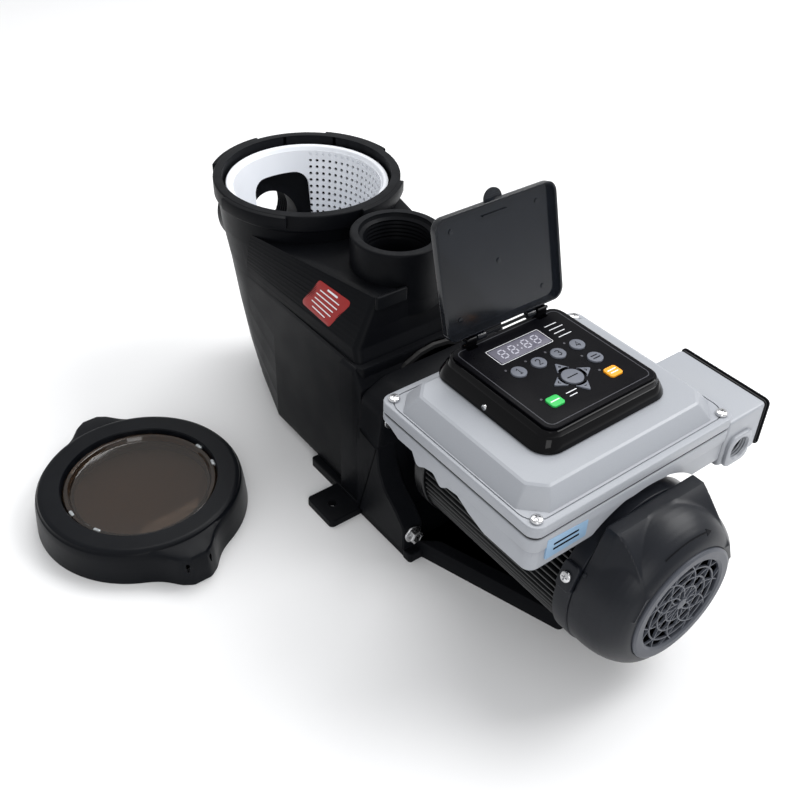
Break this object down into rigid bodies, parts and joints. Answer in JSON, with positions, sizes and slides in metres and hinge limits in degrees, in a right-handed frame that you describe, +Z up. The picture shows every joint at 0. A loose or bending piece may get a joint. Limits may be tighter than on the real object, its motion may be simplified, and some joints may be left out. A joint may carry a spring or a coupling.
{
  "type": "pool pump",
  "caption": "Self-priming pool pump: strainer pot and volute in one moulding, finned motor, drive box with keypad under a flip cover, and a loose screw-on lid.",
  "frame": {"origin": "on the underside of the base, midway between its two foot tabs, under the motor shaft", "axes": "+X along the motor shaft from the strainer pot to the fan cover, +Y towards the wiring box, +Z up"},
  "size_m": [0.6405, 0.4953, 0.3554],
  "materials": {
    "wet_end_plastic": "fine-textured black moulded plastic",
    "motor_paint": "satin black paint",
    "cover_plastic": "satin dark grey plastic",
    "grille_plastic": "satin mid grey plastic",
    "drive_paint": "light cool grey powder coat",
    "bezel_gloss": "gloss black plastic",
    "panel_film": "satin black printed film",
    "smoked_cover": "smoked translucent plastic",
    "lid_window": "amber smoked transparent plastic",
    "basket_plastic": "white moulded plastic",
    "display_window": "clear window over a segment display",
    "key_grey": "grey printed key",
    "key_orange": "orange printed key",
    "key_green": "green printed key",
    "black_rubber": "black rubber",
    "bright_steel": "bright plated steel",
    "core_steel": "laminated steel",
    "stator_winding": "enamelled copper windings in a steel core",
    "seal_ceramic": "ceramic",
    "board_green": "circuit board"
  },
  "bodies": {
    "pump_body": {"circuit_board": "board_green", "diffuser": "wet_end_plastic", "display": "display_window", "drain_plug": "wet_end_plastic", "drive_base": "drive_paint", "drive_end_bell": "motor_paint", "drive_gasket": "black_rubber", "drive_lid": "drive_paint", "drive_lid_screw_1": "bright_steel", "drive_lid_screw_2": "bright_steel", "drive_lid_screw_3": "bright_steel", "drive_lid_screw_4": "bright_steel", "fan_cover": "cover_plastic", "fan_cover_screw_1": "bright_steel", "fan_cover_screw_2": "bright_steel", "fan_grille": "grille_plastic", "front_bearing": "bright_steel", "hinge_pin": "bright_steel", "housing_bolt_1": "bright_steel", "housing_bolt_2": "bright_steel", "housing_bolt_3": "bright_steel", "housing_bolt_4": "bright_steel", "housing_seal": "black_rubber", "keypad_bezel": "bezel_gloss", "keypad_panel": "panel_film", "motor_base": "wet_end_plastic", "motor_shell": "motor_paint", "pump_housing": "wet_end_plastic", "rear_bearing": "bright_steel", "rear_end_bell": "cover_plastic", "seal_plate": "wet_end_plastic", "seal_seat": "seal_ceramic", "stator": "stator_winding", "terminal_block": "wet_end_plastic", "wiring_cover": "drive_paint", "wiring_gasket": "black_rubber"},
    "rotor": {"motor_shaft": "bright_steel", "rotor_core": "core_steel", "impeller": "wet_end_plastic", "seal_head": "bright_steel", "cooling_fan": "grille_plastic"},
    "basket": {"strainer_basket": "basket_plastic"},
    "lid": {"lid_window": "lid_window", "lid_seal": "black_rubber"},
    "lid_ring": {"lock_ring": "wet_end_plastic"},
    "flip_cover": {"flip_cover": "smoked_cover"},
    "arrow_button_down": {"arrow_button_down": "key_grey"},
    "arrow_button_left": {"arrow_button_left": "key_grey"},
    "arrow_button_right": {"arrow_button_right": "key_grey"},
    "arrow_button_up": {"arrow_button_up": "key_grey"},
    "display_button": {"display_button": "key_grey"},
    "menu_button": {"menu_button": "key_green"},
    "quick_clean_button": {"quick_clean_button": "key_grey"},
    "speed_button_1": {"speed_button_1": "key_grey"},
    "speed_button_2": {"speed_button_2": "key_grey"},
    "speed_button_3": {"speed_button_3": "key_grey"},
    "speed_button_4": {"speed_button_4": "key_grey"},
    "start_stop_button": {"start_stop_button": "key_orange"}
  },
  "joints": [
    {"name": "rotor_spin", "type": "hinge", "parent": "pump_body", "child": "rotor", "pos_m": [0.17, 0, 0.1], "axis": [1, 0, 0], "continuous": true},
    {"name": "basket_lift", "type": "slide", "parent": "pump_body", "child": "basket", "axis": [0, 0, 1], "range_m": [0, 0.26]},
    {"name": "lid_lift", "type": "slide", "parent": "pump_body", "child": "lid", "axis": [0, 0, 1], "range_m": [0, 0.3]},
    {"name": "ring_twist", "type": "hinge", "parent": "lid", "child": "lid_ring", "pos_m": [-0.1112, -0.2528, 0.018], "axis": [0, 0, 1], "range_deg": [0, 45]},
    {"name": "cover_hinge", "type": "hinge", "parent": "pump_body", "child": "flip_cover", "pos_m": [0.113, -0.009, 0.2455], "axis": [0, 1, 0], "range_deg": [-8, 105]},
    {"name": "arrow_button_down_press", "type": "slide", "parent": "pump_body", "child": "arrow_button_down", "axis": [0, 0, -1], "range_m": [0, 0.0006], "stiffness_N_per_m": 400},
    {"name": "arrow_button_left_press", "type": "slide", "parent": "pump_body", "child": "arrow_button_left", "axis": [0, 0, -1], "range_m": [0, 0.0006], "stiffness_N_per_m": 400},
    {"name": "arrow_button_right_press", "type": "slide", "parent": "pump_body", "child": "arrow_button_right", "axis": [0, 0, -1], "range_m": [0, 0.0006], "stiffness_N_per_m": 400},
    {"name": "arrow_button_up_press", "type": "slide", "parent": "pump_body", "child": "arrow_button_up", "axis": [0, 0, -1], "range_m": [0, 0.0006], "stiffness_N_per_m": 400},
    {"name": "display_button_press", "type": "slide", "parent": "pump_body", "child": "display_button", "axis": [0, 0, -1], "range_m": [0, 0.0006], "stiffness_N_per_m": 400},
    {"name": "menu_button_press", "type": "slide", "parent": "pump_body", "child": "menu_button", "axis": [0, 0, -1], "range_m": [0, 0.0006], "stiffness_N_per_m": 400},
    {"name": "quick_clean_button_press", "type": "slide", "parent": "pump_body", "child": "quick_clean_button", "axis": [0, 0, -1], "range_m": [0, 0.0006], "stiffness_N_per_m": 400},
    {"name": "speed_button_1_press", "type": "slide", "parent": "pump_body", "child": "speed_button_1", "axis": [0, 0, -1], "range_m": [0, 0.0006], "stiffness_N_per_m": 400},
    {"name": "speed_button_2_press", "type": "slide", "parent": "pump_body", "child": "speed_button_2", "axis": [0, 0, -1], "range_m": [0, 0.0006], "stiffness_N_per_m": 400},
    {"name": "speed_button_3_press", "type": "slide", "parent": "pump_body", "child": "speed_button_3", "axis": [0, 0, -1], "range_m": [0, 0.0006], "stiffness_N_per_m": 400},
    {"name": "speed_button_4_press", "type": "slide", "parent": "pump_body", "child": "speed_button_4", "axis": [0, 0, -1], "range_m": [0, 0.0006], "stiffness_N_per_m": 400},
    {"name": "start_stop_button_press", "type": "slide", "parent": "pump_body", "child": "start_stop_button", "axis": [0, 0, -1], "range_m": [0, 0.0006], "stiffness_N_per_m": 400}
  ]
}
